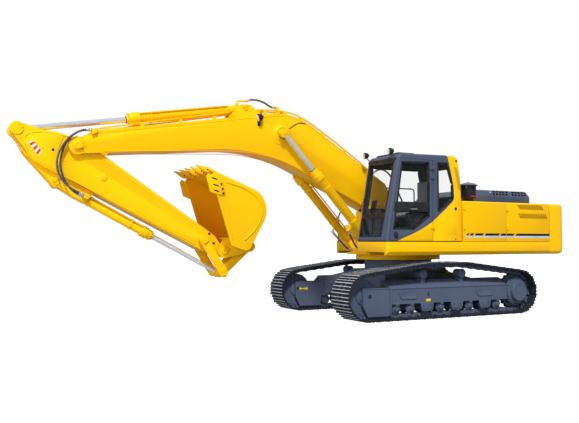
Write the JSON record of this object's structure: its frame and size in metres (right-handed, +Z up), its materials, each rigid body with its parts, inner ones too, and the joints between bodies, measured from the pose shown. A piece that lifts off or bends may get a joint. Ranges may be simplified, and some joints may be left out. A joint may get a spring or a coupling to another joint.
{
  "type": "crawler excavator",
  "caption": "Full-size tracked hydraulic excavator with a swinging upper part, a cab, and a jointed boom, arm and toothed bucket folded in at rest.",
  "frame": {"origin": "on the ground, on the axis that the upper part turns about", "axes": "+X along the tracks, the way the boom points at rest; +Y to the cab side; +Z up"},
  "size_m": [11.1719, 3.19, 4.211],
  "materials": {
    "yellow_paint": "gloss enamel",
    "frame_grey": "satin enamel",
    "cab_grey": "gloss enamel",
    "track_steel": "worn steel",
    "chrome_rod": "polished",
    "glass": "clear",
    "seat_cloth": "woven",
    "black_plastic": "moulded",
    "hose_rubber": "smooth",
    "engine_iron": "cast"
  },
  "bodies": {
    "undercarriage": {"car_body": "frame_grey", "track_frames": "frame_grey", "track_left": "track_steel", "track_right": "track_steel", "idlers": "frame_grey", "drive_sprockets": "frame_grey", "track_rollers": "frame_grey", "swing_bearing": "frame_grey"},
    "upper": {"main_frame": "yellow_paint", "side_decks": "yellow_paint", "counterweight": "yellow_paint", "engine_house": "yellow_paint", "engine_block": "engine_iron", "tanks": "yellow_paint", "tool_box": "yellow_paint", "air_precleaner": "black_plastic", "exhaust_pipe": "frame_grey", "handrails": "frame_grey", "cab_shell": "cab_grey", "cab_glass": "glass", "seat": "seat_cloth", "control_stands": "black_plastic", "boom_cylinder_hose_left": "hose_rubber", "boom_cylinder_hose_right": "hose_rubber", "boom_foot_hose": "hose_rubber"},
    "cab_door": {"cab_door": "cab_grey", "door_glass": "glass"},
    "left_front_door": {"left_front_door": "yellow_paint"},
    "left_rear_door": {"left_rear_door": "yellow_paint"},
    "right_rear_door": {"right_rear_door": "yellow_paint"},
    "engine_hood": {"engine_hood": "frame_grey"},
    "boom": {"boom": "yellow_paint", "bucket_hose_outer": "hose_rubber", "bucket_hose_inner": "hose_rubber", "arm_cylinder_hose": "hose_rubber"},
    "boom_cylinder_barrels": {"boom_cylinder_barrel": "yellow_paint"},
    "boom_cylinder_rods": {"boom_cylinder_rod": "chrome_rod"},
    "arm": {"arm": "yellow_paint"},
    "arm_cylinder_barrel": {"arm_cylinder_barrel": "yellow_paint"},
    "arm_cylinder_rod": {"arm_cylinder_rod": "chrome_rod"},
    "bucket_cylinder_barrel": {"bucket_cylinder_barrel": "yellow_paint"},
    "bucket_cylinder_rod": {"bucket_cylinder_rod": "chrome_rod"},
    "side_links": {"side_links": "yellow_paint"},
    "bucket_link": {"bucket_link": "yellow_paint"},
    "bucket": {"bucket": "yellow_paint", "bucket_teeth": "yellow_paint"}
  },
  "joints": [
    {"name": "swing", "type": "hinge", "parent": "undercarriage", "child": "upper", "pos_m": [0, 0, 1.15], "axis": [0, 0, 1], "continuous": true},
    {"name": "boom_lift", "type": "hinge", "parent": "upper", "child": "boom", "pos_m": [0.326, 0, 2.021], "axis": [0, -1, 0], "range_deg": [-52, 50], "deforming": ["boom_foot_hose"]},
    {"name": "boom_cylinder_swing", "type": "hinge", "parent": "upper", "child": "boom_cylinder_barrels", "pos_m": [0.93, 0, 1.42], "axis": [0, -1, 0], "range_deg": [-54, 52], "deforming": ["boom_cylinder_hose_left", "boom_cylinder_hose_right"]},
    {"name": "boom_cylinder_stroke", "type": "slide", "parent": "boom_cylinder_barrels", "child": "boom_cylinder_rods", "axis": [0.6824, 0, 0.7309], "range_m": [-0.7, 0.68]},
    {"name": "arm_swing", "type": "hinge", "parent": "boom", "child": "arm", "pos_m": [6.708, 0, 3.068], "axis": [0, -1, 0], "range_deg": [0, 113], "deforming": ["bucket_hose_outer", "bucket_hose_inner"]},
    {"name": "arm_cylinder_swing", "type": "hinge", "parent": "boom", "child": "arm_cylinder_barrel", "pos_m": [3.6, 0, 3.985], "axis": [0, -1, 0], "range_deg": [-1, 14], "deforming": ["arm_cylinder_hose"]},
    {"name": "arm_cylinder_stroke", "type": "slide", "parent": "arm_cylinder_barrel", "child": "arm_cylinder_rod", "axis": [0.9859, 0, -0.1674], "range_m": [-1.53, 0.01]},
    {"name": "bucket_tilt", "type": "hinge", "parent": "arm", "child": "bucket", "pos_m": [4.06, 0, 1.293], "axis": [0, -1, 0], "range_deg": [0, 170]},
    {"name": "side_link_swing", "type": "hinge", "parent": "arm", "child": "side_links", "pos_m": [4.48, 0, 1.514], "axis": [0, -1, 0], "range_deg": [-1, 110]},
    {"name": "bucket_link_swing", "type": "hinge", "parent": "bucket", "child": "bucket_link", "pos_m": [3.55, 0, 1.38], "axis": [0, -1, 0], "range_deg": [-100, 1]},
    {"name": "bucket_cylinder_swing", "type": "hinge", "parent": "arm", "child": "bucket_cylinder_barrel", "pos_m": [7.015, 0, 2.444], "axis": [0, -1, 0], "range_deg": [-1, 10]},
    {"name": "bucket_cylinder_stroke", "type": "slide", "parent": "bucket_cylinder_barrel", "child": "bucket_cylinder_rod", "axis": [-0.8836, 0, -0.4682], "range_m": [-1.16, 0.01]},
    {"name": "cab_door_swing", "type": "hinge", "parent": "upper", "child": "cab_door", "pos_m": [0.225, 1.5, 2.2], "axis": [0, 0, 1], "range_deg": [0, 165]},
    {"name": "left_front_door_swing", "type": "hinge", "parent": "upper", "child": "left_front_door", "pos_m": [-1.652, 1.5, 1.9], "axis": [0, 0, 1], "range_deg": [0, 100]},
    {"name": "left_rear_door_swing", "type": "hinge", "parent": "upper", "child": "left_rear_door", "pos_m": [-2.894, 1.5, 1.9], "axis": [0, 0, 1], "range_deg": [0, 100]},
    {"name": "right_rear_door_swing", "type": "hinge", "parent": "upper", "child": "right_rear_door", "pos_m": [-2.894, -1.5, 1.9], "axis": [0, 0, -1], "range_deg": [0, 100]},
    {"name": "engine_hood_lift", "type": "hinge", "parent": "upper", "child": "engine_hood", "pos_m": [-1.04, 0, 2.29], "axis": [0, 1, 0], "range_deg": [0, 60]}
  ],
  "couplings": [
    {"joint": "boom_cylinder_swing", "follows": "boom_lift", "ratio": 0.9962},
    {"joint": "boom_cylinder_stroke", "follows": "boom_lift", "m_per_rad": 0.7467},
    {"joint": "arm_cylinder_swing", "follows": "arm_swing", "ratio": 0.1034},
    {"joint": "arm_cylinder_stroke", "follows": "arm_swing", "m_per_rad": -0.7644},
    {"joint": "side_link_swing", "follows": "bucket_tilt", "ratio": 0.6307},
    {"joint": "bucket_link_swing", "follows": "bucket_tilt", "ratio": -0.5752},
    {"joint": "bucket_cylinder_swing", "follows": "bucket_tilt", "ratio": 0.0477},
    {"joint": "bucket_cylinder_stroke", "follows": "bucket_tilt", "m_per_rad": -0.3822}
  ]
}
